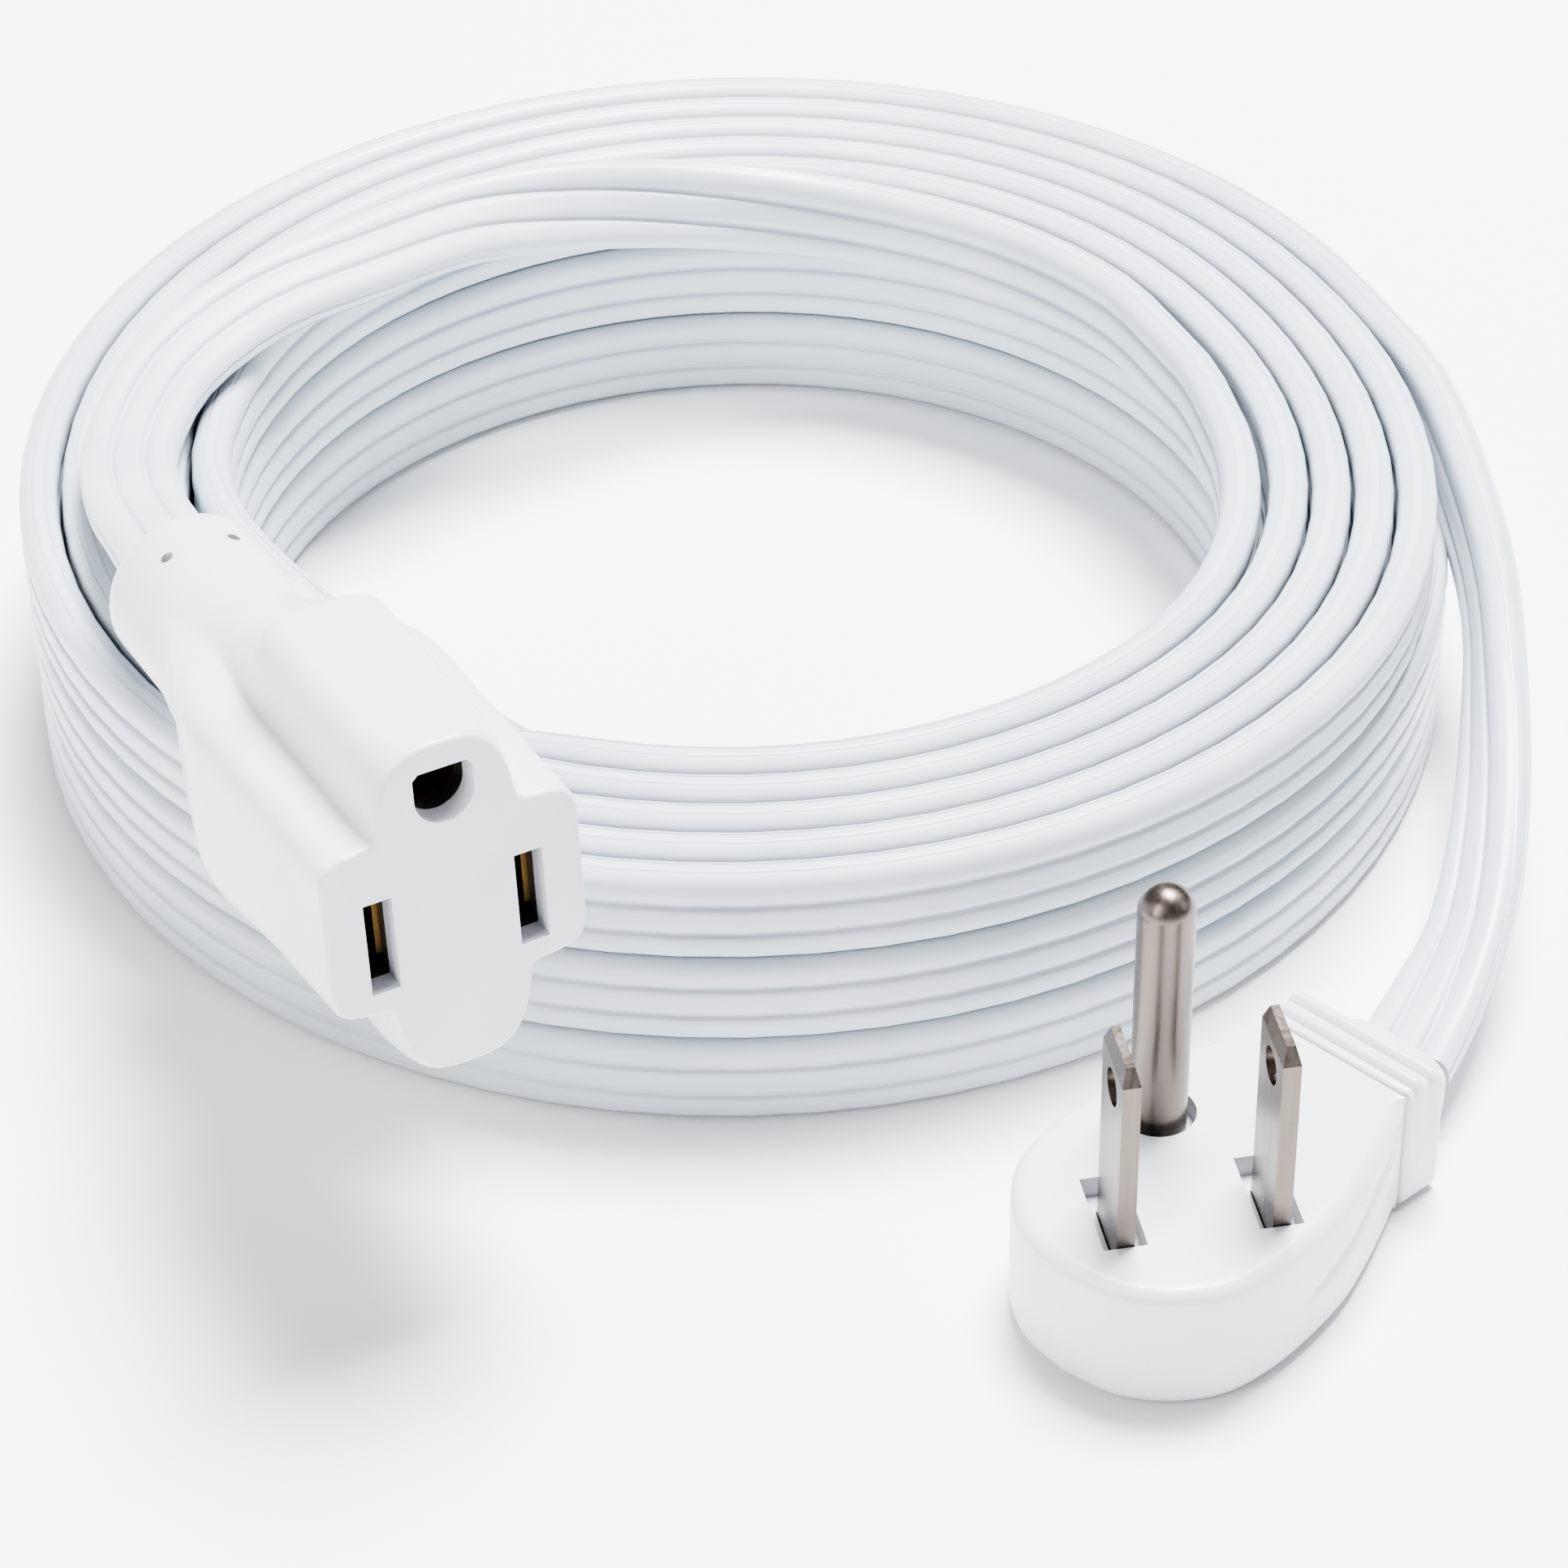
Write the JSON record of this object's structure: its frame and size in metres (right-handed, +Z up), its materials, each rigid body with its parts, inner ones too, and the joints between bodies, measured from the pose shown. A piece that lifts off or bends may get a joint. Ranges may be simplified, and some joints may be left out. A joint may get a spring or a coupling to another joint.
{
  "type": "flat extension cord",
  "caption": "Flat three-conductor extension cord coiled on edge, with a grounded outlet connector on one end and a flat angled plug with upturned prongs on the other.",
  "frame": {"origin": "on the floor, under the middle of the box around the plug and the connector", "axes": "+Z up, +X to the right from connector to plug, +Y back towards the coil; plug prongs point along +Z"},
  "size_m": [0.1364, 0.167, 0.0563],
  "materials": {
    "white_overmould": "satin moulded vinyl",
    "cord_jacket": "satin extruded vinyl",
    "nylon_insert": "matte moulded nylon",
    "brass_contact": "stamped",
    "nickel_prongs": "satin nickel plate",
    "copper_strands": "stranded copper",
    "black_insulation": "extruded vinyl",
    "white_insulation": "extruded vinyl",
    "green_insulation": "extruded vinyl"
  },
  "bodies": {
    "root": {"connector_overmould": "white_overmould", "contact_carrier": "nylon_insert", "connector_line_contact": "brass_contact", "connector_neutral_contact": "brass_contact", "connector_ground_contact": "brass_contact", "connector_line_wire": "black_insulation", "connector_neutral_wire": "white_insulation", "connector_ground_wire": "green_insulation", "connector_line_strands": "copper_strands", "connector_neutral_strands": "copper_strands", "connector_ground_strands": "copper_strands", "plug_overmould": "white_overmould", "blade_bridge": "nylon_insert", "plug_strain_relief": "white_overmould", "line_blade": "nickel_prongs", "neutral_blade": "nickel_prongs", "ground_pin": "nickel_prongs", "plug_line_wire": "black_insulation", "plug_neutral_wire": "white_insulation", "plug_ground_wire": "green_insulation", "plug_line_strands": "copper_strands", "plug_neutral_strands": "copper_strands", "plug_ground_strands": "copper_strands", "cord_coil": "cord_jacket", "cord_to_connector": "cord_jacket", "cord_to_plug": "cord_jacket"}
  },
  "joints": []
}
